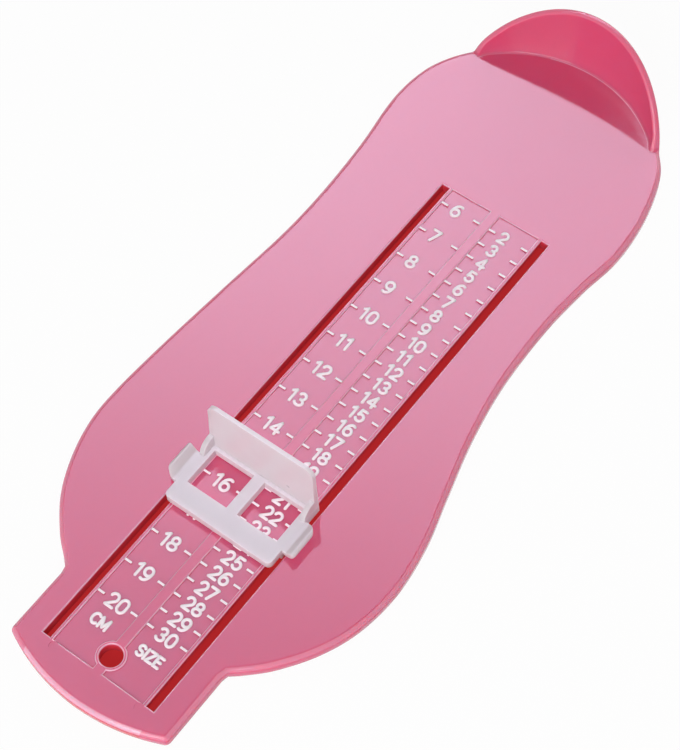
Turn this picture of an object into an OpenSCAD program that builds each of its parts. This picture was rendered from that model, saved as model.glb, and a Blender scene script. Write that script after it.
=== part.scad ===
// Foot measuring gauge for small children: a foot-shaped moulded plate with a
// heel cup, two long slots and a sunken double scale, and a toe-stop slider
// that is clipped through the slots. All sizes are millimetres.
//
// Distances along the foot are measured from the zero of the scale, which is
// the inside of the heel cup, towards the toes. Distances across the foot are
// measured from the middle of the scale strip. at() turns the two into X and Y.

/* [Plate] */
// Height of the plate above the table
plate_h = 3.2; // [2.8:0.1:4.5]
// Thickness of the plate's skin
skin_t = 1.8; // [1.4:0.1:2]
// Radius of the plate's rounded upper edge, and thickness of the lip below it
edge_r = 1.4; // [1:0.1:1.5]
// Width of the square toe tab
tab_w = 48; // [46:0.1:49]
// Distance from the scale's zero to the tip of the toe tab
tab_end = 225.4; // [222:0.1:230]
// Radius of the curved end of the toe tab
tab_end_r = 55; // [40:1:90]
// Radius of the toe tab's two corners
tab_corner_r = 1.6; // [1.6:0.1:4]

/* [Heel cup] */
// Height of the cup's rim above the plate, at the back of the heel
cup_h = 19.3; // [12:0.1:24]
// Outer radius of the heel
cup_r = 40; // [39.5:0.1:40.5]
// Distance of the heel's centre from the middle of the scale strip
cup_x = -6.5; // [-7:0.1:-6]
// Distance of the heel's centre from the scale's zero
cup_u = 38.5; // [38:0.1:39]
// Half the width of the arch that the rim follows
cup_half_w = 29.5; // [22:0.1:32]
// How sharply the arch falls towards its ends: 1 is an ellipse
cup_arch_power = 1.45; // [1:0.05:1.6]
// Thickness of the cup's wall
cup_t = 2; // [1.4:0.1:2.4]
// Lean of the cup's wall, in degrees from upright
cup_lean = 4; // [0:0.5:8]
// Radius of the hollow where the wall meets the plate
cup_fillet_r = 2; // [0.5:0.1:3]

/* [Slots and scale strip] */
// Distance from the middle of the strip to the middle of each slot
slot_x = 15.8; // [15:0.1:17]
// Width of each slot
slot_w = 2.3; // [2:0.1:3]
// Distance from the scale's zero to the heel end of the slots
slot_start = 55.1; // [50:0.1:60]
// Distance from the scale's zero to the toe end of the slots
slot_end = 216.1; // [205:0.1:217]
// Depth of the two sunken scale panels
panel_depth = 0.5; // [0.3:0.1:0.8]
// Width of the rail between a slot and its scale panel
rail_w = 1; // [0.6:0.1:1.5]
// Half the width of the rib between the two scale panels
rib_half_w = 1.5; // [1:0.1:2.5]
// Radius of the hanging hole
hole_r = 2.9; // [2:0.1:3.2]
// Outer radius of the ring round the hanging hole
ring_r = 3.9; // [3.6:0.1:5]
// Distance from the scale's zero to the hanging hole
hole_u = 211.3; // [208:0.1:212]

/* [Scale] */
// First number of the centimetre scale
cm_first = 6; // [6:1:10]
// Last number of the centimetre scale
cm_last = 20; // [15:1:20]
// First number of the size scale
size_first = 2; // [2:1:10]
// Last number of the size scale
size_last = 30; // [20:1:30]
// Distance between two marks of the size scale
size_pitch = 5; // [5:0.5:6]
// Distance from the scale's zero to size 0
size_zero = 50; // [48:0.1:50]
// Length of a scale mark
mark_len = 2; // [1:0.1:2.5]
// Width of a scale mark
mark_w = 0.6; // [0.4:0.1:1]
// Height of a scale mark above its panel
mark_h = 0.4; // [0.2:0.05:0.45]

/* [Slider] */
// Distance from the scale's zero to the heel side of the toe stop
stop_u = 152.4; // [60:0.1:190]
// Length of the slider along the scale
slider_len = 19.6; // [18:0.1:24]
// Width of the slider's frame
slider_w = 32.4; // [32.2:0.1:32.6]
// Thickness of the slider's frame
slider_t = 2.4; // [1.6:0.1:3]
// Height of the toe stop above the plate
stop_h = 19.7; // [15:0.1:26]
// Width of the toe stop at its top
stop_top_w = 31.7; // [28:0.1:32.2]
// Thickness of the toe stop where it leaves the frame
stop_t = 1.8; // [1.4:0.1:2.5]
// Thickness of the toe stop at its top
stop_top_t = 1.1; // [0.8:0.1:1.4]
// Radius of the toe stop's two upper corners
stop_corner_r = 2.6; // [1:0.1:5]
// Distance from the toe stop's heel side to the reading windows
window_start = 2.7; // [2.5:0.1:4]
// Length of the two reading windows
window_len = 10.9; // [8:0.1:12]
// Width of each reading window
window_w = 12.2; // [10:0.1:12.3]
// Width of the bar between the two windows
bar_w = 3.2; // [2.5:0.1:4]
// Clearance between the slider and the plate
slide_gap = 0.2; // [0.15:0.05:0.3]
// Distance that a finger grip stands out from the frame
grip_out = 3.9; // [3:0.1:5]
// Length of a finger grip at its root
grip_root_len = 9.2; // [8:0.1:11]
// Length of a finger grip at its tip
grip_tip_len = 9.8; // [7:0.1:11]
// Distance from the toe stop's heel side to the middle of the finger grips
grip_start = 10.1; // [9:0.1:11]
// Height of a finger grip's rim above the frame
grip_rise = 1.3; // [1:0.1:4]
// Thickness of a finger grip
grip_t = 1.5; // [1.2:0.1:1.6]
// Length of the clip leg on each side
leg_len = 9; // [8:0.1:12]
// Distance that a clip's hook reaches under the scale strip
hook_reach = 1.6; // [1:0.1:2]

/* [Hidden] */
$fn = 96;

plastic_pink = [0.85, 0.46, 0.60];
plastic_white = [0.93, 0.91, 0.93];
mark_white = [1.00, 0.88, 0.93];

// Each pair is [across, along]. The outline goes from the toe tab up the left
// side, round the heel and back down the right side.
left_side = [
    [-26.6, 197.9], [-31.5, 193.7], [-38.2, 185.7], [-43.0, 176.0], [-45.9, 165.5],
    [-46.5, 155.0], [-45.7, 138.0], [-43.9, 115.0], [-42.0, 93.0], [-41.8, 76.0],
    [-43.0, 57.0], [-45.0, 42.0], [-45.2, 33.0], [-43.9, 25.0]
];
right_side = [
    [31.2, 27.5], [33.1, 38.0], [33.4, 49.0], [31.7, 61.0], [30.6, 77.0],
    [31.3, 96.0], [34.1, 113.5], [38.4, 130.0], [42.2, 144.0], [43.9, 158.0],
    [42.5, 171.0], [38.5, 181.5], [32.3, 190.8], [26.4, 196.8]
];
heel_half_angle = 60;
heel_step = 10;
heel_arc = [
    for (a = [-heel_half_angle : heel_step : heel_half_angle])
        [cup_x + cup_r * sin(a), cup_u - cup_r * cos(a)]
];
side_samples = 4;
arc_samples = 4;
corner_samples = 8;

strip_half_w = slot_x - slot_w / 2;
panel_outer = strip_half_w - rail_w;
cavity_h = plate_h - skin_t;
frame_wall_t = 1.4;
cross_rib_t = 1.2;
cross_rib_recess = 0.4;
// Each is [distance from the scale's zero, left end, right end].
cross_ribs = [[75, -41.2, 30], [105, -42.4, 32], [135, -44.9, 39.2], [165, -45.3, 42.6]];
underside_ring_r = 4.5;
rim_step = 30;
fillet_step = 30;
rim_blend_h = 4;
foot_step = 0.1;
gusset_r = 4;
gusset_t = 1.35;
gusset_bury = 0.5;
slider_corner_r = 1.3;
grip_heel_r = 3.4;
grip_toe_r = 0.9;
grip_bend_out = 1.6;
grip_bend_rise = 0.1;
leg_t = 1.05;
hook_t = 1;
cut = 1;

// Points on a smooth curve through a list of points (Catmull-Rom).
function curve_point(p, i, t) =
    let (a = p[max(i - 1, 0)], b = p[i], c = p[i + 1], d = p[min(i + 2, len(p) - 1)])
    0.5 * (2 * b + (c - a) * t + (2 * a - 5 * b + 4 * c - d) * t * t
        + (3 * b - a - 3 * c + d) * t * t * t);
function curve(p, samples) = concat(
    [for (i = [0 : len(p) - 2]) for (k = [0 : samples - 1]) curve_point(p, i, k / samples)],
    [p[len(p) - 1]]
);
function arc(centre, r, from, to, samples) = [
    for (k = [0 : samples])
        let (a = from + (to - from) * k / samples)
        [centre[0] + r * sin(a), centre[1] + r * cos(a)]
];

// The toe tab: straight sides, small corners and a shallow curved end.
tab_half = tab_w / 2;
tab_arc_angle = asin((tab_half - tab_corner_r) / (tab_end_r - tab_corner_r));
tab_corner_u = tab_end - tab_end_r + (tab_end_r - tab_corner_r) * cos(tab_arc_angle);
tab_step = 1.3;
right_step_u = right_side[len(right_side) - 1][1] + 1.6;
left_step_u = left_side[0][1] + 2;
tab = concat(
    [[tab_half + tab_step / 3, right_step_u], [tab_half, right_step_u + tab_step * 1.5]],
    arc([tab_half - tab_corner_r, tab_corner_u], tab_corner_r, 90, tab_arc_angle, arc_samples),
    arc([0, tab_end - tab_end_r], tab_end_r, tab_arc_angle * 0.8, -tab_arc_angle * 0.8, 8),
    arc([tab_corner_r - tab_half, tab_corner_u], tab_corner_r, -tab_arc_angle, -90, arc_samples),
    [[-tab_half, left_step_u + tab_step * 1.5], [-tab_half - tab_step / 3, left_step_u]]
);
foot_curve = curve(concat(left_side, heel_arc, right_side), side_samples);
foot_points = len(foot_curve);
foot_line = concat(foot_curve, tab);

// Height of the cup's rim above the plate at a point of the outline.
function rim_height(p) =
    let (across = abs(p[0] - cup_x) * (1 - cup_t / 2 / cup_r) / cup_half_w)
    p[1] < cup_u && across < 1 ? cup_h * pow(1 - across * across, cup_arch_power / 2) : 0;

// Section of the moulding's edge where the rim stands h above the plate, as
// pairs [distance inside the outline, height]. It runs under the plate to the
// lip, down the lip, up the outside, over the rim, down the inside and through
// a hollow to the plate's flat top. Away from the cup only the points from
// edge_first to edge_last are used: the lip and the plain rounded edge.
edge_first = 1;
edge_last = edge_first + 3 + 90 / rim_step;
function edge_section(h) =
    let (
        r = edge_r + (cup_t / 2 - edge_r) * min(1, h / rim_blend_h),
        rim_z = plate_h + h - r,
        lean = tan(cup_lean) * max(0, rim_z - plate_h),
        fillet = max(0, min(cup_fillet_r, 0.7 * (rim_z - plate_h))),
        foot = 2 * r + foot_step,
        end = foot + fillet + foot_step * 3
    )
    concat(
        [[end, cavity_h], [edge_r, cavity_h], [edge_r, 0], [0, 0]],
        [for (a = [0 : rim_step : 180])
            [r - r * cos(a) - lean, a > 90 ? max(plate_h, rim_z + r * sin(a)) : rim_z + r * sin(a)]],
        [for (a = [0 : fillet_step : 90])
            [foot + fillet * (1 - cos(a)) + foot_step * a / 30, plate_h + fillet * (1 - sin(a))]]
    );

// The part stands on the table, centred on its own outline.
across_all = [for (p = foot_line) p[0]];
centre_x = (min(across_all) + max(across_all)) / 2;
cup_back = cup_u - cup_r + min([for (p = edge_section(cup_h)) p[0]]);
zero_y = (tab_end + cup_back) / 2;
function at(p) = [p[0] - centre_x, zero_y - p[1]];

outline = [for (p = foot_line) at(p)];
function outward(i) =
    let (
        n = len(outline),
        d = outline[(i + 1) % n] - outline[(i + n - 1) % n]
    )
    [-d[1], d[0]] / norm(d);

// The moulding's edge, carried round the outline as one closed ring.
rims = [for (p = foot_line) rim_height(p)];
rows = len(edge_section(0));
ring_points = [
    for (i = [0 : len(outline) - 1]) each
        [for (q = edge_section(rims[i])) let (p = outline[i] - q[0] * outward(i)) [p[0], p[1], q[1]]]
];
function corner(i, k) =
    let (j = i % len(outline))
    j * rows + (rims[j] > 0 ? k % rows : min(max(k % rows, edge_first), edge_last));

module edge_ring() {
    sides = [
        for (i = [0 : len(outline) - 1]) for (k = [0 : rows - 1]) each [
            [corner(i, k), corner(i + 1, k + 1), corner(i, k + 1)],
            [corner(i, k), corner(i + 1, k), corner(i + 1, k + 1)]
        ]
    ];
    polyhedron(
        points = ring_points,
        faces = [for (t = sides) if (t[0] != t[1] && t[1] != t[2] && t[2] != t[0]) t]
    );
}

// The flat skin inside the ring.
module flat_skin() {
    translate([0, 0, cavity_h]) linear_extrude(skin_t)
        polygon([for (i = [0 : len(outline) - 1])
            let (p = ring_points[corner(i, rows - 1)]) [p[0], p[1]]]);
}

// A box between two distances across, two along and two heights.
module block(x1, x2, u1, u2, z1, z2) {
    low = at([x1, u2]);
    translate([low[0], low[1], z1]) cube([x2 - x1, u2 - u1, z2 - z1]);
}

module place(x, u, z) {
    p = at([x, u]);
    translate([p[0], p[1], z]) children();
}

// What stands in the hollow underside: a frame under the slots, a ring round
// the hanging hole and thin cross ribs out to the lip.
module underside_ribs() {
    frame_x = slot_x + slot_w / 2;
    top = cavity_h + skin_t / 3;
    for (x = [-frame_x - frame_wall_t, frame_x])
        block(x, x + frame_wall_t, slot_start - frame_wall_t, slot_end + frame_wall_t, 0, top);
    for (u = [slot_start - frame_wall_t, slot_end])
        block(-frame_x - frame_wall_t / 2, frame_x + frame_wall_t / 2, u, u + frame_wall_t, 0, top);
    for (rib = cross_ribs) {
        block(rib[1], -frame_x - frame_wall_t / 2, rib[0], rib[0] + cross_rib_t, cross_rib_recess, top);
        block(frame_x + frame_wall_t / 2, rib[2], rib[0], rib[0] + cross_rib_t, cross_rib_recess, top);
    }
    place(0, hole_u, 0) cylinder(h = top, r = underside_ring_r);
}

module foot_plate() {
    color(plastic_pink)
    difference() {
        union() {
            edge_ring();
            flat_skin();
            underside_ribs();
        }
        for (side = [-1, 1])
            block(side * slot_x - slot_w / 2, side * slot_x + slot_w / 2,
                slot_start, slot_end, -cut, plate_h + cut);
        difference() {
            for (side = [-1, 1])
                block(min(side * rib_half_w, side * panel_outer), max(side * rib_half_w, side * panel_outer),
                    slot_start, slot_end, plate_h - panel_depth, plate_h + cut);
            place(0, hole_u, 0) cylinder(h = plate_h + 2 * cut, r = ring_r);
        }
        place(0, hole_u, -cut) cylinder(h = plate_h + 2 * cut, r = hole_r);
    }
}

module mark(x, u) {
    block(x, x + mark_len, u - mark_w / 2, u + mark_w / 2,
        plate_h - panel_depth, plate_h - panel_depth + mark_h);
}

module cm_marks() {
    color(mark_white)
    for (n = [cm_first : cm_last], x = [-panel_outer, -rib_half_w - mark_len])
        mark(x, 10 * n);
}

module size_marks() {
    color(mark_white)
    for (n = [size_first : size_last], x = [rib_half_w, panel_outer - mark_len])
        mark(x, size_zero + size_pitch * n);
}

// A flat shape in [along, height], pulled across the foot from x1 to x2.
module side_cut(x1, x2) {
    p = at([x1, 0]);
    translate([p[0], p[1], 0]) rotate([90, 0, 90]) linear_extrude(x2 - x1) scale([-1, 1]) children();
}

module toe_stop() {
    half = slider_w / 2;
    base = plate_h + slide_gap;
    top = plate_h + stop_h;
    corner_x = stop_top_w / 2 - stop_corner_r;
    corner_z = top - stop_corner_r;
    intersection() {
        place(0, stop_u + stop_t, 0) rotate([90, 0, 0]) translate([0, 0, -stop_t])
            linear_extrude(stop_t)
                polygon(concat(
                    [[-half, base], [half, base]],
                    arc([corner_x, corner_z], stop_corner_r, 90, 0, corner_samples),
                    arc([-corner_x, corner_z], stop_corner_r, 0, -90, corner_samples)
                ));
        side_cut(-half - cut, half + cut)
            polygon([[stop_u, base - cut], [stop_u + stop_t, base - cut],
                [stop_u + stop_t, base + slider_t], [stop_u + stop_top_t, top + cut],
                [stop_u, top + cut]]);
    }
}

module slider_frame() {
    half = slider_w / 2;
    low = plate_h + slide_gap;
    toe_end = stop_u + slider_len;
    difference() {
        union() {
            block(-half, half, stop_u, toe_end - slider_corner_r, low, low + slider_t);
            block(slider_corner_r - half, half - slider_corner_r,
                toe_end - slider_corner_r - cut, toe_end, low, low + slider_t);
            for (side = [-1, 1])
                place(side * (half - slider_corner_r), toe_end - slider_corner_r, low)
                    cylinder(h = slider_t, r = slider_corner_r);
        }
        for (x = [-bar_w / 2 - window_w, bar_w / 2])
            block(x, x + window_w, stop_u + window_start, stop_u + window_start + window_len,
                low - cut, low + slider_t + cut);
    }
}

// The rounded web that ties the toe stop to the side of the frame.
module gusset(x) {
    low = plate_h + slide_gap + slider_t;
    side_cut(x - gusset_t / 2, x + gusset_t / 2)
        intersection() {
            translate([stop_u + stop_t / 2, low - gusset_bury])
                square([gusset_r + cut, gusset_r + gusset_bury]);
            translate([stop_u + stop_t, low]) circle(r = gusset_r);
        }
}

// The finger grip, drawn for the right-hand side: a flap that leaves the top of
// the frame, bends upwards and ends in a rounded rim.
module grip() {
    half = slider_w / 2;
    top = plate_h + slide_gap + slider_t;
    r = grip_t / 2;
    tip_x = half + grip_out;
    bend = [half + grip_bend_out, top - r + grip_bend_rise];
    rim = [tip_x - r, top - r + grip_rise];
    tilt = atan2(rim[1] - bend[1], rim[0] - bend[0]);
    bend_side = r * [-tan(tilt / 2), 1];
    intersection() {
        rotate([90, 0, 0]) translate([0, 0, -grip_tip_len]) linear_extrude(2 * grip_tip_len)
            polygon(concat(
                [[half - grip_t, top - grip_t], [half - grip_t, top], bend + bend_side],
                arc(rim, r, -tilt, 180 - tilt, corner_samples),
                [bend - bend_side]
            ));
        linear_extrude(plate_h + stop_h) grip_outline(half - grip_t - cut, half, tip_x);
    }
}

// The right-hand grip seen from above, with its middle at height 0 of the
// drawing and its heel end up. Its heel corner is rounder than its toe corner.
module grip_outline(inner_x, root_x, tip_x) {
    root = grip_root_len / 2;
    tip = grip_tip_len / 2;
    polygon(concat(
        [[inner_x, -root], [root_x, -root]],
        arc([tip_x - grip_toe_r, grip_toe_r - tip], grip_toe_r, 180, 90, corner_samples),
        arc([tip_x - grip_heel_r, tip - grip_heel_r], grip_heel_r, 90, 0, corner_samples),
        [[root_x, root], [inner_x, root]]
    ));
}

// The clip leg under a grip, with a hook that turns in under the scale strip.
module clip_leg() {
    inner = slot_x - slot_w / 2 + slide_gap;
    top = plate_h + 2 * slide_gap + cut / 2;
    hook_tip = inner - hook_reach;
    rotate([90, 0, 0]) translate([0, 0, -leg_len / 2]) linear_extrude(leg_len)
        polygon([[inner + leg_t, top], [inner + leg_t, slide_gap + hook_t / 2],
            [inner + leg_t - hook_t / 2, slide_gap], [hook_tip + hook_t / 2, slide_gap],
            [hook_tip, slide_gap + hook_t / 2], [hook_tip, slide_gap + hook_t],
            [inner, slide_gap + hook_t], [inner, top]]);
}

// The two grips and their legs face each other, turned half round.
module slider() {
    color(plastic_white)
    union() {
        slider_frame();
        toe_stop();
        for (side = [-1, 1]) gusset(side * (slider_w / 2 - gusset_t / 2));
        for (turn = [0, 180])
            place(0, stop_u + grip_start, 0) rotate([0, 0, turn]) {
                grip();
                clip_leg();
            }
    }
}

foot_plate();
slider();
cm_marks();
size_marks();
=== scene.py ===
# %% [markdown]
# # A foot gauge for small children
# A child stands on the pink plate with the heel in the cup. The white slider
# is pushed up to the toes, and its two windows frame the reading. This lesson
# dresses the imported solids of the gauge: the camera and the studio come first,
# then the plastics, then the plate, the slider and the raised scale.
# The solids say where everything is. Their own shapes are kept, and the pieces
# made here repeat them with finer edges, because a rounded edge is what makes
# a moulded plastic look moulded.

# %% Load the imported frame
import math

import bmesh
import bpy
from mathutils import Matrix, Vector


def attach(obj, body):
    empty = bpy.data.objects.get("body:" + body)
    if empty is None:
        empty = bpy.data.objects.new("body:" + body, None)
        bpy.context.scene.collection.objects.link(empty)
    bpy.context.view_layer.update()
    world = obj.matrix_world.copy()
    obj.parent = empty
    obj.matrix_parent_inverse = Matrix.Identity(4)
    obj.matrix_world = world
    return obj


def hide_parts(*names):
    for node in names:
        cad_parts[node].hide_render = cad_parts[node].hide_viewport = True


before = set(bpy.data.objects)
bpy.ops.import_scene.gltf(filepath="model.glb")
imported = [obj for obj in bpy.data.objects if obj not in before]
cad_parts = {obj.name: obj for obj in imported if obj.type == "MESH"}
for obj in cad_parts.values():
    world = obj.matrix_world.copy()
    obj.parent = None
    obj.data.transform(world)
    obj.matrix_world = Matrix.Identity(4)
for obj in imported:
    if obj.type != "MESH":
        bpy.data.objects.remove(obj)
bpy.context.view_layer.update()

# %% [markdown]
# Everything on the gauge is measured from the zero of its own scale, which is
# the inside of the heel cup. `u` runs from there to the toes and `x` runs
# across, from the middle of the scale strip. Both are in millimetres, as is
# the height `z` above the table. One small function turns them into Blender's
# metres, so that no other line has to think about it.

# %% From the gauge's millimetres to metres
MM = 0.001
MIDDLE_X = -1.30117
ZERO_Y = 111.31


def at(x, u, z):
    return Vector(((x - MIDDLE_X) * MM, (ZERO_Y - u) * MM, z * MM))


print("the scale's zero is at", at(0, 0, 0))

# %% [markdown]
# The camera stands where the photographer stood. Its place and its turn come
# from the plate itself: a pinhole camera was fitted to the scale's marks, whose
# distances are known. The lens is a long one, so the plate keeps almost
# parallel sides.

# %% The camera
CAMERA_AT = Vector((0.17467, -0.21807, 0.45059))
CAMERA_RIGHT = Vector((0.79736, 0.60273, -0.03061))
CAMERA_UP = Vector((-0.50132, 0.68973, 0.52246))
CAMERA_BACK = Vector((0.33601, -0.40124, 0.85212))

camera_data = bpy.data.cameras.new("camera")
camera_data.sensor_fit = "VERTICAL"
camera_data.sensor_height = 36
camera_data.lens = 100.25
camera_data.clip_start = 0.01
camera = bpy.data.objects.new("camera", camera_data)
bpy.context.collection.objects.link(camera)
turn = Matrix((CAMERA_RIGHT, CAMERA_UP, CAMERA_BACK)).transposed()
camera.matrix_world = Matrix.Translation(CAMERA_AT) @ turn.to_4x4()
bpy.context.scene.camera = camera
print("camera at", tuple(round(v, 3) for v in CAMERA_AT))

# %% [markdown]
# Colours are read off as the sRGB hex values that every paint program uses.
# Blender's shaders work with linear light, so one function turns one into the
# other. A second small function adds a node, sets its values and links it.

# %% Colours and nodes


def hex_colour(text):
    parts = [int(text[i:i + 2], 16) / 255 for i in (1, 3, 5)]
    line = [p / 12.92 if p <= 0.04045 else ((p + 0.055) / 1.055) ** 2.4 for p in parts]
    return (*line, 1.0)


def add_node(tree, kind, settings=None, **links):
    node = tree.nodes.new("ShaderNode" + kind)
    for name, value in (settings or {}).items():
        if name in node.inputs:
            node.inputs[name].default_value = value
        else:
            setattr(node, name, value)
    for name, source in links.items():
        socket = node.inputs[int(name[2:])] if name.startswith("in") else node.inputs[name.replace("_", " ")]
        tree.links.new(source, socket)
    return node


def new_material(name):
    material = bpy.data.materials.new(name)
    material.use_nodes = True
    material.node_tree.nodes.clear()
    return material, material.node_tree


print("white is", hex_colour("#FFFFFF"))

# %% [markdown]
# The studio is a white table, a large softbox on the toe side, a weaker one
# behind the heel and a level sheet of light. The softboxes light the plastic and
# the walls that face the camera. The sheet hangs above the place that the plate mirrors towards the
# camera, and it is seen in mirrors only, so it gives the pale sheen without
# making the colours lighter. Its heel end is the brighter one, and the sheen
# fades towards the toes. The table and the room shine white to the camera and
# in mirrors, so the lamp can stay low and no colour clips. From below the table
# lets the camera through.

# %% The table
TABLE_SHINE = 0.95
table_mesh = bpy.data.meshes.new("table")
half_side = 3.0
table_mesh.from_pydata(
    [(-half_side, -half_side, 0), (half_side, -half_side, 0),
     (half_side, half_side, 0), (-half_side, half_side, 0)],
    [], [(0, 1, 2, 3)])
table = bpy.data.objects.new("table", table_mesh)
bpy.context.collection.objects.link(table)


def shining_paper(name, paper_hex, shine_hex, share_of_shine):
    material, tree = new_material(name)
    paper = add_node(tree, "BsdfDiffuse", {"Color": hex_colour(paper_hex)})
    shine = add_node(tree, "Emission", {"Color": hex_colour(shine_hex), "Strength": 1.0})
    ray = add_node(tree, "LightPath")
    seen = add_node(tree, "Math", {"operation": "MAXIMUM"},
                    in0=ray.outputs["Is Camera Ray"], in1=ray.outputs["Is Glossy Ray"])
    share = add_node(tree, "Math", {"operation": "MULTIPLY", "use_clamp": True}, in0=seen.outputs[0])
    share.inputs[1].default_value = share_of_shine
    top = add_node(tree, "MixShader", None, in0=share.outputs[0], in1=paper.outputs[0], in2=shine.outputs[0])
    side = add_node(tree, "NewGeometry")
    clear = add_node(tree, "BsdfTransparent")
    both = add_node(tree, "MixShader", None, in0=side.outputs["Backfacing"], in1=top.outputs[0],
                    in2=clear.outputs[0])
    add_node(tree, "OutputMaterial", None, Surface=both.outputs[0])
    return material


table_mesh.materials.append(shining_paper("table_white_paper", "#F4F2F2", "#FFFFFF", TABLE_SHINE))
print("table", 2 * half_side, "m square")

# %% The sheet of light
SHEET_X, SHEET_Y, SHEET_Z = (-0.72, 0.0), (-0.1, 1.1), 0.9
SHEET_TOE, SHEET_HEEL, SHEET_TILT = 2.8, 6.9, 2.0
FADE_START, FADE_END = 0.1, 0.58
COOL_WHITE = (1, 1, 1.25, 1)

sheet_mesh = bpy.data.meshes.new("sheet_of_light")
sheet_mesh.from_pydata([(SHEET_X[0], SHEET_Y[0], SHEET_Z), (SHEET_X[0], SHEET_Y[1], SHEET_Z),
                        (SHEET_X[1], SHEET_Y[1], SHEET_Z), (SHEET_X[1], SHEET_Y[0], SHEET_Z)],
                       [], [(0, 1, 2, 3)])
sheet = bpy.data.objects.new("sheet_of_light", sheet_mesh)
bpy.context.collection.objects.link(sheet)
sheet.visible_camera = False
sheet.visible_diffuse = False
material, tree = new_material("sheet_of_light")
place = add_node(tree, "TexCoord")
along = add_node(tree, "SeparateXYZ", None, Vector=place.outputs["Object"])
power = add_node(tree, "MapRange", {"interpolation_type": "SMOOTHSTEP", "From Min": FADE_START,
                                    "From Max": FADE_END, "To Min": SHEET_TOE, "To Max": SHEET_HEEL},
                 Value=along.outputs["Y"])
tilt = add_node(tree, "MapRange", {"From Min": SHEET_X[0], "From Max": SHEET_X[1], "To Min": SHEET_TILT,
                                   "To Max": -SHEET_TILT}, Value=along.outputs["X"])
strength = add_node(tree, "Math", {"operation": "ADD"}, in0=power.outputs[0], in1=tilt.outputs[0])
glow = add_node(tree, "Emission", {"Color": COOL_WHITE}, Strength=strength.outputs[0])
add_node(tree, "OutputMaterial", None, Surface=glow.outputs[0])
sheet_mesh.materials.append(material)
print("sheet of light at", SHEET_Z, "m, strength", SHEET_TOE, "to", SHEET_HEEL)

# %% The softboxes and the air
AIR_LIGHT = 0.38


def softbox(name, place, aim, side, strength):
    data = bpy.data.lights.new(name, "AREA")
    data.shape = "SQUARE"
    data.size = side
    data.energy = strength * math.pi * side * side
    lamp = bpy.data.objects.new(name, data)
    bpy.context.collection.objects.link(lamp)
    lamp.location = place
    lamp.rotation_euler = (Vector(aim) - Vector(place)).to_track_quat("-Z", "Y").to_euler()
    return lamp


softbox("toe_softbox", (0.3, -1.1, 0.66), (0, 0, 0), 1.0, 3.9)
softbox("heel_softbox", (-0.1, 1.1, 0.5), (0, 0, 0), 0.8, 1.8)
world = bpy.data.worlds.new("studio_air")
bpy.context.scene.world = world
world.use_nodes = True
world.node_tree.nodes.clear()
air = add_node(world.node_tree, "Background", {"Color": (1, 1, 1, 1), "Strength": AIR_LIGHT})
white = add_node(world.node_tree, "Background", {"Color": (1, 1, 1, 1), "Strength": 1.0})
ray = add_node(world.node_tree, "LightPath")
seen = add_node(world.node_tree, "Math", {"operation": "MAXIMUM"},
                in0=ray.outputs["Is Camera Ray"], in1=ray.outputs["Is Glossy Ray"])
mix = add_node(world.node_tree, "MixShader", None,
               in0=seen.outputs[0], in1=air.outputs[0], in2=white.outputs[0])
add_node(world.node_tree, "OutputWorld", None, Surface=mix.outputs[0])
bpy.context.scene.view_settings.view_transform = "Standard"

# %% [markdown]
# The plate is polypropylene, injection-moulded and coloured in the mass. The
# mould is polished but not a mirror, so the plastic has a soft semi-gloss with
# an IOR of 1.49. Light goes a few millimetres into it, which is what makes the
# thin cup wall glow red instead of going grey, and which helps the sides of the slots do so.
# Real moulded plates are never quite even: the melt leaves faint flow clouds a
# few centimetres wide, and the mould's grain breaks the gloss up. Both are
# noises here, and the grain is drawn coarser than life so that it shows.
# Where the plastic turns from a wall to a top, a painted highlight makes it
# paler, most of all along the slots and panels and a little on the cup's rim.
# Low on the steep walls within the scale strip's width, such as the slots' and the
# hole's, a painted shade turns it deep red, for the shade there and the red light
# that comes through the plastic.

# %% Pink moulded polypropylene
PINK_BODY = "#DB5980"
PINK_CLOUD = "#D7557D"
# a painted highlight for the rounded edges
PINK_PAINTED_HIGHLIGHT = "#F4B6CC"
# a painted red shade for the low walls of the slots and the hole
RED_PAINTED_SHADE = "#D83C44"
# shares of the painted highlight: off the strip, on the strip, on the cup's rim
HIGHLIGHT_EDGE_SHARE, HIGHLIGHT_SLOT_SHARE, HIGHLIGHT_RIM_SHARE = 0.42, 1.0, 0.15
FLOW_CLOUD_MM = 45
MOULD_GRAIN_MM = 0.9
MILK_CLOUD_MM = 9
PLASTIC_IOR = 1.49
# The masks, in millimetres: the strip's half width, the heights of the painted
# highlight on the low edges and on the cup's rim, and the heights of the painted
# red shade on the slots' walls.
STRIP_MASK = (17.9, 17.6)
LOW_HIGHLIGHT_MM, RIM_HIGHLIGHT_MM, RED_SHADE_MM = (3.3, 3.2), (3.8, 4.2), (3.0, 2.3)
# how much of the painted red shade the low walls get
RED_SHADE_STRENGTH = 0.85


def per_metre(size_mm):
    return 1 / (size_mm * MM)


def mm_mask(tree, limits, source):
    start, end = limits
    return add_node(tree, "MapRange", {"From Min": start * MM, "From Max": end * MM}, Value=source)


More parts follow.
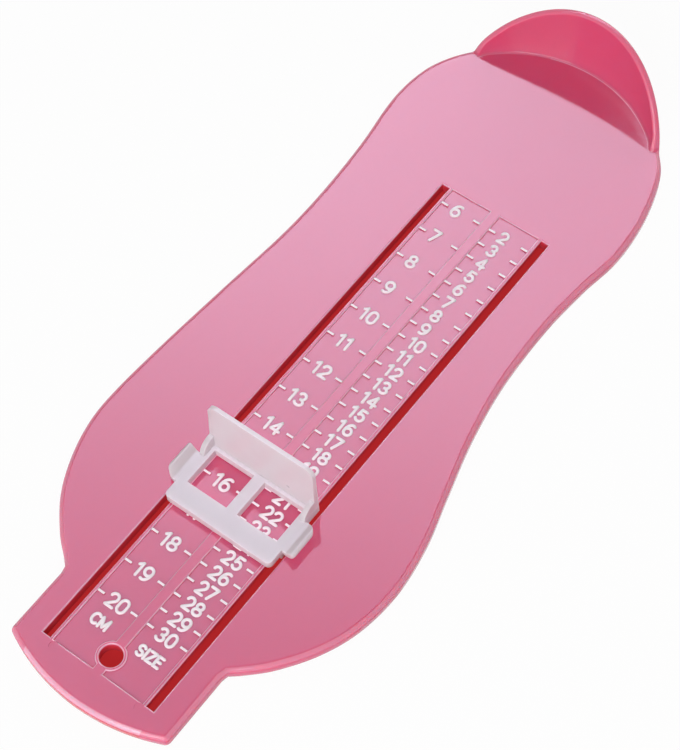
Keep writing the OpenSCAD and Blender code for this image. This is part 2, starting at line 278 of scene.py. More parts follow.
def pink_polypropylene():
    material, tree = new_material("polypropylene_pink_moulded")
    place = add_node(tree, "TexCoord")
    clouds = add_node(tree, "TexNoise", {"Scale": per_metre(FLOW_CLOUD_MM), "Detail": 3.0, "Roughness": 0.5},
                      Vector=place.outputs["Object"])
    grain = add_node(tree, "TexNoise", {"Scale": per_metre(MOULD_GRAIN_MM), "Detail": 2.0},
                     Vector=place.outputs["Object"])
    body = add_node(tree, "Mix", {"data_type": "RGBA"}, in0=clouds.outputs["Fac"])
    body.inputs[6].default_value = hex_colour(PINK_BODY)
    body.inputs[7].default_value = hex_colour(PINK_CLOUD)
    facing = add_node(tree, "SeparateXYZ", None, Vector=place.outputs["Normal"])
    off_wall = add_node(tree, "MapRange", {"From Min": 0.2, "From Max": 0.5}, Value=facing.outputs["Z"])
    off_top = add_node(tree, "MapRange", {"From Min": 0.995, "From Max": 0.95}, Value=facing.outputs["Z"])
    rounded = add_node(tree, "Math", {"operation": "MULTIPLY"},
                       in0=off_wall.outputs[0], in1=off_top.outputs[0])
    spot = add_node(tree, "SeparateXYZ", None, Vector=place.outputs["Object"])
    low = mm_mask(tree, LOW_HIGHLIGHT_MM, spot.outputs["Z"])
    rim = mm_mask(tree, RIM_HIGHLIGHT_MM, spot.outputs["Z"])
    across = add_node(tree, "Math", {"operation": "ADD"}, in0=spot.outputs["X"])
    across.inputs[1].default_value = MIDDLE_X * MM
    apart = add_node(tree, "Math", {"operation": "ABSOLUTE"}, in0=across.outputs[0])
    in_strip = mm_mask(tree, STRIP_MASK, apart.outputs[0])
    edge_highlight_share = add_node(tree, "MapRange", {"To Min": HIGHLIGHT_EDGE_SHARE, "To Max": HIGHLIGHT_SLOT_SHARE},
                          Value=in_strip.outputs[0])
    low_edge_highlight = add_node(tree, "Math", {"operation": "MULTIPLY"},
                        in0=low.outputs[0], in1=edge_highlight_share.outputs[0])
    rim_highlight = add_node(tree, "MapRange", {"To Max": HIGHLIGHT_RIM_SHARE}, Value=rim.outputs[0])
    raised = add_node(tree, "Math", {"operation": "MAXIMUM"},
                      in0=low_edge_highlight.outputs[0], in1=rim_highlight.outputs[0])
    painted_highlight = add_node(tree, "Math", {"operation": "MULTIPLY"}, in0=rounded.outputs[0], in1=raised.outputs[0])
    # painted highlight on the rounded edges low on the plate and on the cup's rim
    highlighted = add_node(tree, "Mix", {"data_type": "RGBA"}, in0=painted_highlight.outputs[0], in6=body.outputs[2])
    highlighted.inputs[7].default_value = hex_colour(PINK_PAINTED_HIGHLIGHT)
    below = mm_mask(tree, RED_SHADE_MM, spot.outputs["Z"])
    steep = add_node(tree, "Math", {"operation": "ABSOLUTE"}, in0=facing.outputs["Z"])
    on_wall = add_node(tree, "MapRange", {"From Min": 0.3, "From Max": 0.1}, Value=steep.outputs[0])
    low_wall = add_node(tree, "Math", {"operation": "MULTIPLY"}, in0=below.outputs[0], in1=on_wall.outputs[0])
    slot_shade_mask = add_node(tree, "Math", {"operation": "MULTIPLY"},
                         in0=low_wall.outputs[0], in1=in_strip.outputs[0])
    painted_red_shade = add_node(tree, "MapRange", {"To Max": RED_SHADE_STRENGTH}, Value=slot_shade_mask.outputs[0])
    # painted red shade on the steep low walls within the strip's width
    colour = add_node(tree, "Mix", {"data_type": "RGBA"}, in0=painted_red_shade.outputs[0], in6=highlighted.outputs[2])
    colour.inputs[7].default_value = hex_colour(RED_PAINTED_SHADE)
    gloss = add_node(tree, "MapRange", {"To Min": 0.07, "To Max": 0.1}, Value=clouds.outputs["Fac"])
    bump = add_node(tree, "Bump", {"Strength": 0.12, "Distance": 0.02 * MM}, Height=grain.outputs["Fac"])
    skin = add_node(tree, "BsdfPrincipled",
                    {"IOR": PLASTIC_IOR, "Subsurface Weight": 0.9, "Subsurface Radius": (1.0, 0.22, 0.25),
                     "Subsurface Scale": 3 * MM},
                    Base_Color=colour.outputs[2], Roughness=gloss.outputs[0], Normal=bump.outputs[0])
    add_node(tree, "OutputMaterial", None, Surface=skin.outputs[0])
    return material


plate_plastic = pink_polypropylene()
print("made", plate_plastic.name)

# %% [markdown]
# The slider is polypropylene without a pigment. Uncoloured, it is milky: light
# goes in, scatters and comes out pale, and where the wall is thin a little of
# the pink below comes through. Its gloss is softer than
# the plate's.

# %% Milky polypropylene
MILK_WHITE = "#DCD6DA"
MILK_SHADE = "#D3CBD0"


def milky_polypropylene():
    material, tree = new_material("polypropylene_milky_moulded")
    place = add_node(tree, "TexCoord")
    clouds = add_node(tree, "TexNoise", {"Scale": per_metre(MILK_CLOUD_MM), "Detail": 3.0},
                      Vector=place.outputs["Object"])
    grain = add_node(tree, "TexNoise", {"Scale": per_metre(MOULD_GRAIN_MM), "Detail": 2.0},
                     Vector=place.outputs["Object"])
    body = add_node(tree, "Mix", {"data_type": "RGBA"}, in0=clouds.outputs["Fac"])
    body.inputs[6].default_value = hex_colour(MILK_WHITE)
    body.inputs[7].default_value = hex_colour(MILK_SHADE)
    gloss = add_node(tree, "MapRange", {"To Min": 0.24, "To Max": 0.34}, Value=clouds.outputs["Fac"])
    bump = add_node(tree, "Bump", {"Strength": 0.12, "Distance": 0.02 * MM}, Height=grain.outputs["Fac"])
    skin = add_node(tree, "BsdfPrincipled",
                    {"IOR": PLASTIC_IOR, "Subsurface Weight": 0.9, "Subsurface Radius": (1.0, 0.9, 0.95),
                     "Subsurface Scale": 2.5 * MM, "Transmission Weight": 0.1},
                    Base_Color=body.outputs[2], Roughness=gloss.outputs[0], Normal=bump.outputs[0])
    add_node(tree, "OutputMaterial", None, Surface=skin.outputs[0])
    return material


slider_plastic = milky_polypropylene()
print("made", slider_plastic.name)

# %% [markdown]
# The scale is moulded with the plate and stands half a millimetre proud of its
# sunken panels. A hot stamp presses a pale foil onto whatever stands proud, so
# the tops are pale and the flanks keep the plate's pink. The foil's cover is
# a little uneven, more so where the stamp pressed lightly.

# %% Hot-stamped pale foil
FOIL_PALE = "#FFF8FB"
FOIL_THIN = "#FFE8F0"
FOIL_PATCH_MM = 2.5


def stamped_foil():
    material, tree = new_material("foil_pale_hot_stamped")
    place = add_node(tree, "TexCoord")
    cover = add_node(tree, "TexNoise", {"Scale": per_metre(FOIL_PATCH_MM), "Detail": 4.0},
                     Vector=place.outputs["Object"])
    foil = add_node(tree, "Mix", {"data_type": "RGBA"}, in0=cover.outputs["Fac"])
    foil.inputs[6].default_value = hex_colour(FOIL_PALE)
    foil.inputs[7].default_value = hex_colour(FOIL_THIN)
    shape = add_node(tree, "NewGeometry")
    upward = add_node(tree, "SeparateXYZ", None, Vector=shape.outputs["Normal"])
    top = add_node(tree, "MapRange", {"From Min": 0.05, "From Max": 0.35}, Value=upward.outputs["Z"])
    body = add_node(tree, "Mix", {"data_type": "RGBA"}, in0=top.outputs[0], in7=foil.outputs[2])
    body.inputs[6].default_value = hex_colour(PINK_BODY)
    gloss = add_node(tree, "MapRange", {"To Min": 0.35, "To Max": 0.55}, Value=cover.outputs["Fac"])
    skin = add_node(tree, "BsdfPrincipled", {"IOR": PLASTIC_IOR, "Subsurface Weight": 0.2,
                                             "Subsurface Radius": (1.0, 0.5, 0.6),
                                             "Subsurface Scale": 0.5 * MM},
                    Base_Color=body.outputs[2], Roughness=gloss.outputs[0])
    add_node(tree, "OutputMaterial", None, Surface=skin.outputs[0])
    return material


scale_foil = stamped_foil()
for name in ("cm_marks", "size_marks"):
    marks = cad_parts[name]
    marks.data.materials.clear()
    marks.data.materials.append(scale_foil)
print("made", scale_foil.name)

# %% [markdown]
# Now the plate. Its outline is a smooth curve through points that were read
# off the real one, then round the heel, and down to a square toe tab. The
# curve is a Catmull-Rom spline: it goes through every point, and it needs no
# handles. A Bezier curve would look the same but would be slower to fit.

# %% The outline
LEFT_SIDE = [
    (-26.6, 197.9), (-31.5, 193.7), (-38.2, 185.7), (-43.0, 176.0), (-45.9, 165.5), (-46.5, 155.0),
    (-45.7, 138.0), (-43.9, 115.0), (-42.0, 93.0), (-41.8, 76.0), (-43.0, 57.0), (-45.0, 42.0),
    (-45.2, 33.0), (-43.9, 25.0)]
RIGHT_SIDE = [
    (31.2, 27.5), (33.1, 38.0), (33.4, 49.0), (31.7, 61.0), (30.6, 77.0), (31.3, 96.0), (34.1, 113.5),
    (38.4, 130.0), (42.2, 144.0), (43.9, 158.0), (42.5, 171.0), (38.5, 181.5), (32.3, 190.8), (26.4, 196.8)]
CUP_R, CUP_X, CUP_U = 40.0, -6.5, 38.5
SPLINE_STEPS = 10
HEEL_ARC = [(CUP_X + CUP_R * math.sin(math.radians(a)), CUP_U - CUP_R * math.cos(math.radians(a)))
            for a in range(-60, 61, 10)]


def catmull_rom(points, steps):
    out = []
    for i in range(len(points) - 1):
        a, b = points[max(i - 1, 0)], points[i]
        c, d = points[i + 1], points[min(i + 2, len(points) - 1)]
        for k in range(steps):
            t = k / steps
            out.append(tuple(0.5 * (2 * q + (r - p) * t + (2 * p - 5 * q + 4 * r - s) * t * t
                                    + (3 * q - p - 3 * r + s) * t ** 3) for p, q, r, s in zip(a, b, c, d)))
    return out + [points[-1]]


def arc(centre, r, start, end, steps):
    turns = [math.radians(start + (end - start) * k / steps) for k in range(steps + 1)]
    return [(centre[0] + r * math.sin(a), centre[1] + r * math.cos(a)) for a in turns]


def toe_tab():
    half, end, end_r, corner_r, step = 24.0, 225.4, 55.0, 1.6, 1.3
    turn = math.degrees(math.asin((half - corner_r) / (end_r - corner_r)))
    corner_u = end - end_r + (end_r - corner_r) * math.cos(math.radians(turn))
    right_u, left_u = RIGHT_SIDE[-1][1] + 1.6, LEFT_SIDE[0][1] + 2
    return ([(half + step / 3, right_u), (half, right_u + step * 1.5)]
            + arc((half - corner_r, corner_u), corner_r, 90, turn, 8)
            + arc((0, end - end_r), end_r, turn * 0.95, -turn * 0.95, 24)
            + arc((corner_r - half, corner_u), corner_r, -turn, -90, 8)
            + [(-half, left_u + step * 1.5), (-half - step / 3, left_u)])


outline = catmull_rom(LEFT_SIDE + HEEL_ARC + RIGHT_SIDE, SPLINE_STEPS) + toe_tab()
print(len(outline), "points round the outline")

# %% [markdown]
# The edge of the plate and the heel cup are one moulding. Seen in section, the
# edge is a thin lip with a rounded top. Round the heel the same section grows
# upwards into the cup's wall: a little thinner at its rim, leaning out by four
# degrees, with a hollow at its foot. So one section, carried round the outline
# while it grows and shrinks, makes both, and no seam has to be hidden.

# %% The section that grows into the cup
PLATE_H, SKIN_T, EDGE_R = 3.2, 1.8, 1.4
CUP_H, CUP_HALF_W, CUP_ARCH, CUP_T, CUP_LEAN, CUP_FILLET = 19.3, 29.5, 1.45, 2.0, 4.0, 0.5
CAVITY_H = PLATE_H - SKIN_T
ROUND_STEP = 10


def rim_height(point):
    across = abs(point[0] - CUP_X) * (1 - CUP_T / 2 / CUP_R) / CUP_HALF_W
    return CUP_H * (1 - across * across) ** (CUP_ARCH / 2) if point[1] < CUP_U and across < 1 else 0.0


def edge_section(h):
    r = EDGE_R + (CUP_T / 2 - EDGE_R) * min(1, h / 4)
    rim_z = PLATE_H + h - r
    lean = math.tan(math.radians(CUP_LEAN)) * max(0, rim_z - PLATE_H)
    fillet = max(0, min(CUP_FILLET, 0.7 * (rim_z - PLATE_H)))
    foot = 2 * r + 0.1
    points = [(foot + fillet + 0.3, CAVITY_H), (EDGE_R, CAVITY_H), (EDGE_R, 0.25), (EDGE_R - 0.25, 0),
              (0.25, 0), (0.07, 0.07), (0, 0.25)]
    for a in range(0, 181, ROUND_STEP):
        z = rim_z + r * math.sin(math.radians(a))
        points.append((r - r * math.cos(math.radians(a)) - lean, max(PLATE_H, z) if a > 90 else z))
    for a in range(0, 91, ROUND_STEP):
        points.append((foot + fillet * (1 - math.cos(math.radians(a))) + 0.1 * a / 30,
                       PLATE_H + fillet * (1 - math.sin(math.radians(a)))))
    return points


FIRST, LAST = 1, 7 + 90 // ROUND_STEP
rows = len(edge_section(0))
print(rows, "points in the section,", LAST - FIRST + 1, "of them away from the cup")

# %% The plate's blank: the ring, its top and its underside


def outward(i):
    a, b = outline[i - 1], outline[(i + 1) % len(outline)]
    d = Vector((b[0] - a[0], b[1] - a[1])).normalized()
    return Vector((d.y, -d.x))


def plate_blank():
    mesh = bmesh.new()
    columns = []
    for i, point in enumerate(outline):
        height = rim_height(point)
        section = edge_section(height)
        column = []
        for k in range(rows):
            if height == 0 and not FIRST <= k <= LAST:
                column.append(None)
                continue
            place = Vector(point) - section[k][0] * outward(i)
            column.append(mesh.verts.new(at(place.x, place.y, section[k][1])))
        columns.append([v or column[FIRST if k < FIRST else LAST] for k, v in enumerate(column)])
    for i, near in enumerate(columns):
        far = columns[(i + 1) % len(columns)]
        for k in range(rows - 1):
            corners = []
            for v in (near[k], far[k], far[k + 1], near[k + 1]):
                if v not in corners:
                    corners.append(v)
            if len(corners) > 2:
                mesh.faces.new(corners)
    mesh.faces.new([c[-1] for c in columns])
    mesh.faces.new([c[0] for c in reversed(columns)])
    bmesh.ops.recalc_face_normals(mesh, faces=mesh.faces)
    return mesh


blank = plate_blank()
open_edges = sum(1 for e in blank.edges if not e.is_manifold)
print(len(blank.verts), "vertices,", open_edges, "open edges")

# %% [markdown]
# The slots, the two sunken panels and the hanging hole are cut with the
# Boolean modifier. It is exact where faces meet at right angles, as they do
# here, and the cutters can be read like a drawing: each is a box between two
# distances across, two along and two heights.

# %% Helpers that make, join and cut pieces


def new_piece(name, mesh):
    data = bpy.data.meshes.new(name)
    mesh.to_mesh(data)
    mesh.free()
    piece = bpy.data.objects.new(name, data)
    bpy.context.collection.objects.link(piece)
    return piece


def add_block(mesh, x1, x2, u1, u2, z1, z2):
    box = bmesh.ops.create_cube(mesh, size=1.0)
    low, high = at(x1, u2, z1), at(x2, u1, z2)
    for v in box["verts"]:
        v.co = Vector([low[i] if v.co[i] < 0 else high[i] for i in range(3)])


def add_round(mesh, x, u, z1, z2, r, sides=96):
    shape = bmesh.ops.create_cone(mesh, cap_ends=True, segments=sides, radius1=r * MM, radius2=r * MM,
                                  depth=(z2 - z1) * MM)
    middle = at(x, u, (z1 + z2) / 2)
    for v in shape["verts"]:
        v.co += middle


def apply_modifiers(piece):
    bpy.context.view_layer.update()
    graph = bpy.context.evaluated_depsgraph_get()
    data = bpy.data.meshes.new_from_object(
        piece.evaluated_get(graph), preserve_all_data_layers=True, depsgraph=graph)
    piece.modifiers.clear()
    old, piece.data = piece.data, data
    bpy.data.meshes.remove(old)


def carve(piece, tool_mesh, operation):
    tool = new_piece("tool", tool_mesh)
    step = piece.modifiers.new("carve", "BOOLEAN")
    step.operation, step.solver, step.object = operation, "EXACT", tool
    apply_modifiers(piece)
    bpy.data.objects.remove(tool)


SLOT_X, SLOT_W, SLOT_START, SLOT_END = 15.8, 2.3, 55.1, 216.1
STRIP_HALF = SLOT_X - SLOT_W / 2
PANEL_OUTER, RIB_HALF, PANEL_Z = STRIP_HALF - 1.0, 1.5, PLATE_H - 0.5
HOLE_U, HOLE_R, RING_R = 211.3, 2.9, 3.9
print("panels from", RIB_HALF, "to", PANEL_OUTER, "mm off the middle")

# %% [markdown]
# A mould can't have a perfectly sharp edge. The Bevel modifier would have to fit
# its width to the shortest edge anywhere, and the cup has very short ones, so
# the plate's cutters are made with a flare instead: near the plate's top they
# widen along a quarter circle, and so they leave a rounding of 0.4 mm. It is
# this that catches the light along the slots. The large flat faces are shaded
# flat, so that the rounding next to them doesn't bend theirs.

# %% Cutters with a flare
ROUNDING = 0.4
FLARE = [(ROUNDING * (1 - math.cos(t)), PLATE_H - ROUNDING + ROUNDING * math.sin(t))
         for t in (math.radians(a) for a in (0, 22, 45, 67, 90))]


def add_stack(mesh, levels):
    stack = [[mesh.verts.new(at(x, u, z)) for x, u in loop] for loop, z in levels]
    mesh.faces.new(stack[0])
    mesh.faces.new(list(reversed(stack[-1])))
    for near, far in zip(stack, stack[1:]):
        for i in range(len(near)):
            j = (i + 1) % len(near)
            mesh.faces.new((near[i], far[i], far[j], near[j]))
    bmesh.ops.recalc_face_normals(mesh, faces=mesh.faces)


def flared_box(x1, x2, u1, u2, low):
    def loop(grow):
        return [(x1 - grow, u1 - grow), (x2 + grow, u1 - grow),
                (x2 + grow, u2 + grow), (x1 - grow, u2 + grow)]
    return [(loop(0), low)] + [(loop(e), z) for e, z in FLARE] + [(loop(ROUNDING), PLATE_H + 1)]


def circle(x, u, r):
    return arc((x, u), r, 0, 360, 96)[:-1]


def fill_slivers(piece):
    # A Boolean can leave a gap a few micrometres wide, with three edges.
    mesh = bmesh.new()
    mesh.from_mesh(piece.data)
    gaps = [e for e in mesh.edges if len(e.link_faces) == 1]
    bmesh.ops.holes_fill(mesh, edges=gaps, sides=3)
    count = sum(1 for e in mesh.edges if not e.is_manifold)
    mesh.to_mesh(piece.data)
    mesh.free()
    return count


def smooth_normals(piece, flat_area_mm2=2):
    piece.data.shade_smooth()
    piece.data.set_sharp_from_angle(angle=math.radians(50))
    for face in piece.data.polygons:
        square_on = max(abs(c) for c in face.normal) > 0.999
        if square_on and face.area > flat_area_mm2 * MM * MM:
            face.use_smooth = False


print("rounding of", ROUNDING, "mm")

# %% Cut the slots and the panels


def cut_flared(piece, x1, x2, low):
    cutter = bmesh.new()
    add_stack(cutter, flared_box(x1, x2, SLOT_START, SLOT_END, low))
    carve(piece, cutter, "DIFFERENCE")


plate = new_piece("plate_moulding", blank)
for side in (-1, 1):
    cut_flared(plate, side * SLOT_X - SLOT_W / 2, side * SLOT_X + SLOT_W / 2, -1)
cut_flared(plate, -PANEL_OUTER, -RIB_HALF, PANEL_Z)
cut_flared(plate, RIB_HALF, PANEL_OUTER, PANEL_Z)
print("plate has", len(plate.data.polygons), "faces")

# %% The frame and the ribs under the plate
FRAME_X, WALL_T = SLOT_X + SLOT_W / 2, 1.4
CROSS_RIBS = [(75, -41.2, 30), (105, -42.4, 32), (135, -44.9, 39.2), (165, -45.3, 42.6)]

ribs = bmesh.new()
add_block(ribs, -FRAME_X - WALL_T, FRAME_X + WALL_T, SLOT_START - WALL_T, SLOT_END + WALL_T, 0, 2)
carve(plate, ribs, "UNION")
hollow = bmesh.new()
add_block(hollow, -STRIP_HALF, STRIP_HALF, SLOT_START, SLOT_END, -1, CAVITY_H)
carve(plate, hollow, "DIFFERENCE")
ribs = bmesh.new()
for u, left, right in CROSS_RIBS:
    add_block(ribs, left, -FRAME_X - 0.7, u, u + 1.2, 0.4, 2)
    add_block(ribs, FRAME_X + 0.7, right, u, u + 1.2, 0.4, 2)
add_round(ribs, 0, HOLE_U, 0, 2, 4.5)
carve(plate, ribs, "UNION")
slots = bmesh.new()
for side in (-1, 1):
    add_block(slots, side * SLOT_X - SLOT_W / 2, side * SLOT_X + SLOT_W / 2, SLOT_START, SLOT_END, -1, 2.5)
carve(plate, slots, "DIFFERENCE")
print("plate has", len(plate.data.polygons), "faces with its ribs")

# %% The hanging hole in its ring
ring = bmesh.new()
add_stack(ring, [(circle(0, HOLE_U, RING_R), 1.6)] + [(circle(0, HOLE_U, RING_R - e), z) for e, z in FLARE])
carve(plate, ring, "UNION")
hole = bmesh.new()
add_stack(hole, [(circle(0, HOLE_U, HOLE_R), -1)] + [(circle(0, HOLE_U, HOLE_R + e), z) for e, z in FLARE]
          + [(circle(0, HOLE_U, HOLE_R + ROUNDING), PLATE_H + 1)])
carve(plate, hole, "DIFFERENCE")
PIN_XS, PIN_U, PIN_R, PIN_DEPTH = (-12.5, 13.6), 217.4, 1.2, 0.15
pins = bmesh.new()
for x in PIN_XS:
    add_round(pins, x, PIN_U, PLATE_H - PIN_DEPTH, PLATE_H + 1.8, PIN_R, 48)
carve(plate, pins, "DIFFERENCE")
print("open edges in the plate:", fill_slivers(plate))
smooth_normals(plate)
plate.data.materials.clear()
plate.data.materials.append(plate_plastic)
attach(plate, "plate")
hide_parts("foot_plate")
print("plate has", len(plate.data.polygons), "faces with its hole")

# %% [markdown]
# The slider is a second moulding: a frame with two windows, the upright toe
# stop with its two webs, a flared grip on each side, and a clip leg under each
# grip that holds it to the plate. Each is drawn as a flat outline and pulled
# straight to its thickness, as in the mould, and the Boolean modifier joins
# them into one skin, so that the milky plastic has no walls inside it.
# With its shadow on, the figures behind the stop are far greyer than in the
# photograph, so the lamps throw none from the slider. That is a liberty with the
# light, and it can be switched on again where the shadow matters.
# The Bevel modifier works here, because no edge is very short. It is put on the
# frame and on each grip before they are joined, so each has its full rounding.

# %% The slider's sizes
STOP_U, FRAME_LEN, FRAME_HALF, FRAME_Z, FRAME_T = 152.4, 19.6, 16.2, PLATE_H + 0.2, 2.4
STOP_TOP_Z, STOP_HALF_TOP, STOP_T, STOP_TOP_T, STOP_R = PLATE_H + 19.7, 15.85, 1.8, 1.1, 2.6
GRIP_U, GRIP_OUT, GRIP_T = STOP_U + 10.1, 3.9, 1.5
FRAME_TOP = FRAME_Z + FRAME_T
FRAME_ROUNDING, GRIP_ROUNDING = 0.42, 0.35


def add_prism(mesh, points, near, far):
    a = [mesh.verts.new(near(*p)) for p in points]
    b = [mesh.verts.new(far(*p)) for p in points]
    mesh.faces.new(a)
    mesh.faces.new(list(reversed(b)))
    for i in range(len(points)):
        j = (i + 1) % len(points)
        mesh.faces.new((a[i], b[i], b[j], a[j]))
    bmesh.ops.recalc_face_normals(mesh, faces=mesh.faces)


def prism(points, near, far):
    mesh = bmesh.new()
    add_prism(mesh, points, near, far)
    return mesh


def round_edges(piece, width_mm, segments, angle):
    step = piece.modifiers.new("bevel", "BEVEL")
    step.width, step.segments = width_mm * MM, segments
    step.limit_method, step.angle_limit = "ANGLE", math.radians(angle)
    step.use_clamp_overlap = True
    step.miter_outer = "MITER_ARC"
    apply_modifiers(piece)


print("the slider's frame is", FRAME_LEN, "by", 2 * FRAME_HALF, "mm")

# %% Frame and windows
corner = 1.3
toe_u = STOP_U + FRAME_LEN
frame_plan = ([(-FRAME_HALF, STOP_U), (FRAME_HALF, STOP_U)]
              + arc((FRAME_HALF - corner, toe_u - corner), corner, 90, 0, 6)
              + arc((corner - FRAME_HALF, toe_u - corner), corner, 0, -90, 6))
slider = new_piece("slider_moulding", prism(frame_plan, lambda x, u: at(x, u, FRAME_Z),
                                            lambda x, u: at(x, u, FRAME_TOP)))
windows = bmesh.new()
for x in (-13.8, 1.6):
    add_block(windows, x, x + 12.2, STOP_U + 2.7, STOP_U + 13.6, FRAME_Z - 1, FRAME_TOP + 1)
carve(slider, windows, "DIFFERENCE")
print("frame has", len(slider.data.polygons), "faces")

# %% Toe stop and webs


def stop_thickness(z):
    return STOP_T + (STOP_TOP_T - STOP_T) * (z - FRAME_Z) / (STOP_TOP_Z - FRAME_Z)


corner_x, corner_z = STOP_HALF_TOP - STOP_R, STOP_TOP_Z - STOP_R
stop_face = ([(-FRAME_HALF, FRAME_Z), (FRAME_HALF, FRAME_Z)] + arc((corner_x, corner_z), STOP_R, 90, 0, 12)
             + arc((-corner_x, corner_z), STOP_R, 0, -90, 12))
carve(slider, prism(stop_face, lambda x, z: at(x, STOP_U, z),
                    lambda x, z: at(x, STOP_U + stop_thickness(z), z)), "UNION")
web = ([(STOP_U + 1.0, FRAME_TOP - 0.5), (STOP_U + 5.8, FRAME_TOP - 0.5)]
       + arc((STOP_U + 1.8, FRAME_TOP), 4, 90, 0, 8) + [(STOP_U + 1.0, FRAME_TOP + 4)])
for x in (-16.15, 14.8):
    carve(slider, prism(web, lambda u, z: at(x, u, z), lambda u, z: at(x + 1.35, u, z)), "UNION")
round_edges(slider, FRAME_ROUNDING, 3, 40)
print("with stop and webs", len(slider.data.polygons), "faces")

# %% Grips and clip legs


def band(line, thickness):
    left, right = [], []
    for i, p in enumerate(line):
        q, r = line[max(i - 1, 0)], line[min(i + 1, len(line) - 1)]
        d = Vector((r[0] - q[0], r[1] - q[1])).normalized() * thickness / 2
        left.append((p[0] - d.y, p[1] + d.x))
        right.append((p[0] + d.y, p[1] - d.x))
    end, before = Vector(line[-1]), Vector(line[-2])
    d = (end - before).normalized() * thickness / 2
    cap = [tuple(end + d * math.cos(a) + Vector((-d.y, d.x)) * math.sin(a))
           for a in (math.radians(b) for b in (60, 30, 0, -30, -60))]
    return left + cap + list(reversed(right))


root_z = FRAME_TOP - GRIP_T / 2
flare = catmull_rom([(FRAME_HALF - GRIP_T, root_z), (FRAME_HALF + 0.1, root_z),
                     (FRAME_HALF + 1.6, root_z + 0.15),
                     (FRAME_HALF + GRIP_OUT - GRIP_T / 2, root_z + 1.3)], 6)
grip_section = band(flare, GRIP_T)
tip = FRAME_HALF + GRIP_OUT
grip_plan = ([(12, 4.6), (FRAME_HALF, 4.6)] + arc((tip - 0.9, 4.0), 0.9, 0, 90, 6)
             + arc((tip - 3.4, -1.5), 3.4, 90, 180, 12) + [(FRAME_HALF, -4.6), (12, -4.6)])
leg_section = [(15.9, FRAME_Z + 0.7), (15.9, 0.7), (15.4, 0.2), (13.75, 0.2), (13.25, 0.7), (13.25, 1.2),
               (14.85, 1.2), (14.85, FRAME_Z + 0.7)]
for side in (1, -1):
    grip = new_piece("grip", prism(grip_section, lambda x, z: at(side * x, GRIP_U - 6, z),
                                   lambda x, z: at(side * x, GRIP_U + 6, z)))
    carve(grip, prism(grip_plan, lambda x, u: at(side * x, GRIP_U + side * u, 0),
                      lambda x, u: at(side * x, GRIP_U + side * u, 20)), "INTERSECT")
    round_edges(grip, GRIP_ROUNDING, 3, 40)
    mesh = bmesh.new()
    mesh.from_mesh(grip.data)
    bpy.data.objects.remove(grip)
    carve(slider, mesh, "UNION")
    carve(slider, prism(leg_section, lambda x, z: at(side * x, GRIP_U - 4.5, z),
                        lambda x, z: at(side * x, GRIP_U + 4.5, z)), "UNION")
print("open edges in the slider:", fill_slivers(slider))
smooth_normals(slider)
slider.data.materials.clear()
slider.data.materials.append(slider_plastic)
slider.visible_shadow = False
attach(slider, "slider")
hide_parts("slider")
print("slider has", len(slider.data.polygons), "faces")

# %% [markdown]
# The numerals are cut into the mould with one round-ended cutter, as engravers
# do, so each stroke has the same width and every end is round. A font can't
# give that, so each figure is drawn here as one or two strokes on a square of
# height 1, and a bead with a round top is run along it.

# %% Figures as strokes


def bow(x, y, rx, ry, start, end, steps=14):
    turns = [math.radians(start + (end - start) * k / steps) for k in range(steps + 1)]
    return [(x + rx * math.cos(a), y + ry * math.sin(a)) for a in turns]


def upside_down(strokes, width):
    return [[(width - x, 1 - y) for x, y in s] for s in strokes]


SIX = [bow(0.31, 0.31, 0.30, 0.31, 0, 360, 24), bow(0.42, 0.36, 0.41, 0.64, 180, 72, 10)]
FIGURES = {
    "0": (0.62, [bow(0.31, 0.64, 0.30, 0.36, 0, 180) + bow(0.31, 0.36, 0.30, 0.36, 180, 360)
                 + [(0.61, 0.64)]]),
    "1": (0.40, [[(0.06, 0.80), (0.30, 1.0)], [(0.30, 1.0), (0.30, 0.0)]]),
    "2": (0.62, [bow(0.31, 0.69, 0.29, 0.31, 165, -38) + [(0.02, 0.0)], [(0.02, 0.0), (0.62, 0.0)]]),
    "3": (0.62, [bow(0.29, 0.74, 0.26, 0.26, 155, -90), bow(0.29, 0.24, 0.31, 0.25, 90, -155)]),
    "4": (0.66, [[(0.47, 0.0), (0.47, 1.0)], [(0.47, 1.0), (0.0, 0.28)], [(0.0, 0.28), (0.66, 0.28)]]),
    "5": (0.62, [[(0.56, 1.0), (0.13, 1.0)], [(0.13, 1.0), (0.07, 0.52)],
                 bow(0.30, 0.32, 0.31, 0.32, 138, -150)]),
    "6": (0.62, SIX),
    "7": (0.60, [[(0.0, 1.0), (0.60, 1.0)], [(0.60, 1.0), (0.20, 0.0)]]),
    "8": (0.62, [bow(0.31, 0.75, 0.25, 0.25, 0, 360, 22), bow(0.31, 0.26, 0.31, 0.26, 0, 360, 24)]),
    "9": (0.62, upside_down(SIX, 0.62)),
    "C": (0.68, [bow(0.38, 0.5, 0.38, 0.5, 48, 312, 18)]),
    "M": (0.78, [[(0.0, 0.0), (0.0, 1.0)], [(0.0, 1.0), (0.39, 0.12)], [(0.39, 0.12), (0.78, 1.0)],
                 [(0.78, 1.0), (0.78, 0.0)]]),
    "S": (0.60, [bow(0.30, 0.75, 0.27, 0.25, 25, 262), bow(0.30, 0.25, 0.29, 0.25, 98, -155)]),
    "I": (0.06, [[(0.03, 0.0), (0.03, 1.0)]]),
    "Z": (0.60, [[(0.0, 1.0), (0.58, 1.0)], [(0.58, 1.0), (0.0, 0.0)], [(0.0, 0.0), (0.60, 0.0)]]),
    "E": (0.52, [[(0.0, 1.0), (0.0, 0.0)], [(0.0, 1.0), (0.52, 1.0)], [(0.0, 0.0), (0.52, 0.0)],
                 [(0.0, 0.52), (0.45, 0.52)]]),
}
print(len(FIGURES), "figures and letters")

# %% A bead along a stroke
BEAD_SIDES = 8


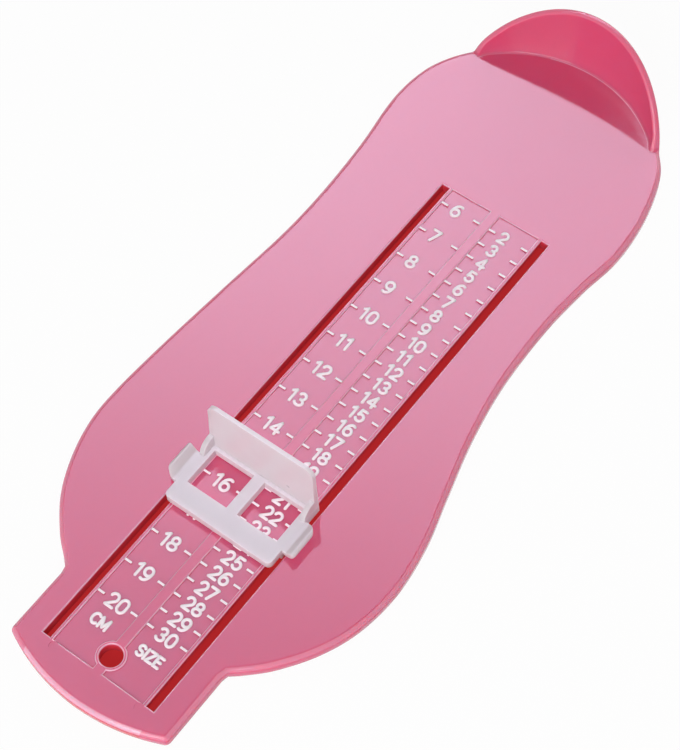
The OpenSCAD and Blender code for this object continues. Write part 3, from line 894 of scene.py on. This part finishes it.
def add_bead(mesh, path, width, height, floor_z):
    closed = math.dist(path[0], path[-1]) < 0.01
    if closed:
        path = path[:-1]
    count = len(path)
    rings = []
    for i, point in enumerate(path):
        before = path[i - 1] if closed or i > 0 else point
        after = path[(i + 1) % count] if closed or i < count - 1 else point
        d = Vector((after[0] - before[0], after[1] - before[1])).normalized()
        rings.append((Vector(point), Vector((-d.y, d.x)), 1.0))
    if not closed:
        first, last = rings[0], rings[-1]
        for end, turned in ((first, -1), (last, 1)):
            along = Vector((end[1].y, -end[1].x)) * turned
            caps = [(end[0] + along * width / 2 * math.sin(a), end[1], math.cos(a))
                    for a in (math.radians(30), math.radians(60), math.radians(85))]
            rings = list(reversed(caps)) + rings if turned < 0 else rings + caps
    loops = []
    for middle, across, scale in rings:
        loop = []
        for k in range(BEAD_SIDES + 1):
            a = math.pi * k / BEAD_SIDES
            p = middle + across * math.cos(a) * width / 2 * scale
            loop.append(mesh.verts.new(at(p.x, p.y, floor_z + height * scale * math.sin(a) ** 0.6)))
        loops.append(loop)
    pairs = list(zip(loops, loops[1:])) + ([(loops[-1], loops[0])] if closed else [])
    for near, far in pairs:
        for k in range(BEAD_SIDES):
            mesh.faces.new((near[k], near[k + 1], far[k + 1], far[k]))


BEAD_H, LETTER_GAP = 0.42, 0.24


def add_words(mesh, text, x, u, height, stroke):
    for letter in text:
        wide, strokes = FIGURES[letter]
        for path in strokes:
            # u runs to the toes, so the top of a figure is at the smaller u.
            add_bead(mesh, [(x + px * height, u - (py - 0.5) * height) for px, py in path],
                     stroke, BEAD_H, PANEL_Z - 0.02)
        x += (wide + LETTER_GAP) * height


STROKE, WORD_U, WORD_H = 0.8, 206.0, 2.7
CM_H, SIZE_H, SIZE_ZERO, SIZE_PITCH = 3.6, 3.3, 50, 5
cm_figures = bmesh.new()
for number in range(6, 21):
    text = str(number)
    add_words(cm_figures, text, -10.0 if len(text) == 1 else -10.2, 10 * number, CM_H, STROKE)
add_words(cm_figures, "CM", -10.2, WORD_U, WORD_H, STROKE)
size_figures = bmesh.new()
for number in range(2, 31):
    text = str(number)
    add_words(size_figures, text, 5.1, SIZE_ZERO + SIZE_PITCH * number, SIZE_H, STROKE)
add_words(size_figures, "SIZE", 3.9, WORD_U, WORD_H, STROKE)
for name, mesh in (("cm_figures", cm_figures), ("size_figures", size_figures)):
    bmesh.ops.recalc_face_normals(mesh, faces=mesh.faces)
    piece = new_piece(name, mesh)
    piece.data.shade_smooth()
    piece.data.materials.append(scale_foil)
    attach(piece, "plate")
    print(name, len(piece.data.polygons), "faces")

# %% [markdown]
# Under the plate no white light reaches the table: what falls there has gone
# through pink plastic, so the strip of table that shows through the slots and
# the hole is deep red. A patch of red paper under the plate stands for that.
# It is part of the studio, well inside the plate's outline.

# %% The red light under the plate
patch = bmesh.new()
corners = [(-19, 51), (19, 51), (19, 219), (-19, 219)]
patch.faces.new([patch.verts.new(at(x, u, 0.03)) for x, u in reversed(corners)])
bmesh.ops.recalc_face_normals(patch, faces=patch.faces)
red_paper = new_piece("light_under_plate", patch)
red_paper.data.materials.append(shining_paper("table_in_red_light", "#B0202A", "#B8282B", 0.75))
print("red paper under the slots")
